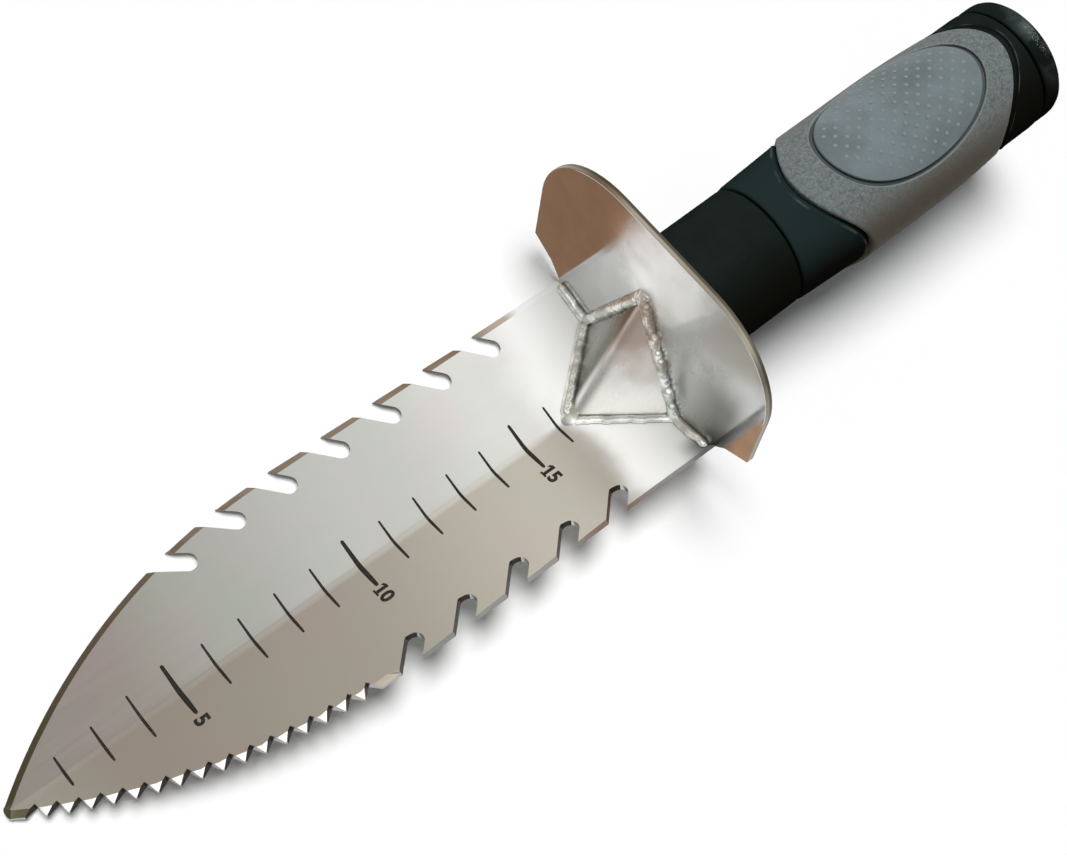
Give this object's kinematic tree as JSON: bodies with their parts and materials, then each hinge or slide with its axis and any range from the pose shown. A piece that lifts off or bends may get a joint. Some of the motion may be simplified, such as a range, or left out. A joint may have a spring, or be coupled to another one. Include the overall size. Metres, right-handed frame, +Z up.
{
  "type": "hori hori knife",
  "caption": "Fixed-blade digging knife with a folded trough blade, hook slots and a fine saw edge, a welded guard and brace, and a two-tone rubber grip on a tube.",
  "frame": {"origin": "under the middle of the bounding box, on the surface that the left wing's outer face rests on", "axes": "+X along the blade's crease from the tip towards the butt, +Z up from the surface, +Y towards the wing that lies flat"},
  "size_m": [0.3026, 0.0814, 0.0645],
  "materials": {
    "blade_steel": "satin brushed stainless steel with ground edges",
    "polished_steel": "stainless plate, buffed to a soft mirror",
    "weld_steel": "bright rippled weld bead",
    "tube_steel": "plain drawn steel tube",
    "black_rubber": "satin black moulded rubber",
    "grey_rubber": "fine-grained matte grey soft rubber",
    "pad_rubber": "smooth grey rubber with rows of small raised dots"
  },
  "bodies": {
    "root": {"blade": "blade_steel", "guard": "polished_steel", "brace": "polished_steel", "brace_weld_blade_left": "weld_steel", "brace_weld_blade_right": "weld_steel", "brace_weld_guard_left": "weld_steel", "brace_weld_guard_right": "weld_steel", "seam_weld_left": "weld_steel", "seam_weld_right": "weld_steel", "seam_weld_rear": "weld_steel", "handle_tube": "tube_steel", "tube_weld": "weld_steel", "front_collar": "black_rubber", "grip_core": "black_rubber", "grip_overmould": "grey_rubber", "pad_top": "pad_rubber", "pad_bottom": "pad_rubber", "end_cap": "black_rubber"}
  },
  "joints": []
}
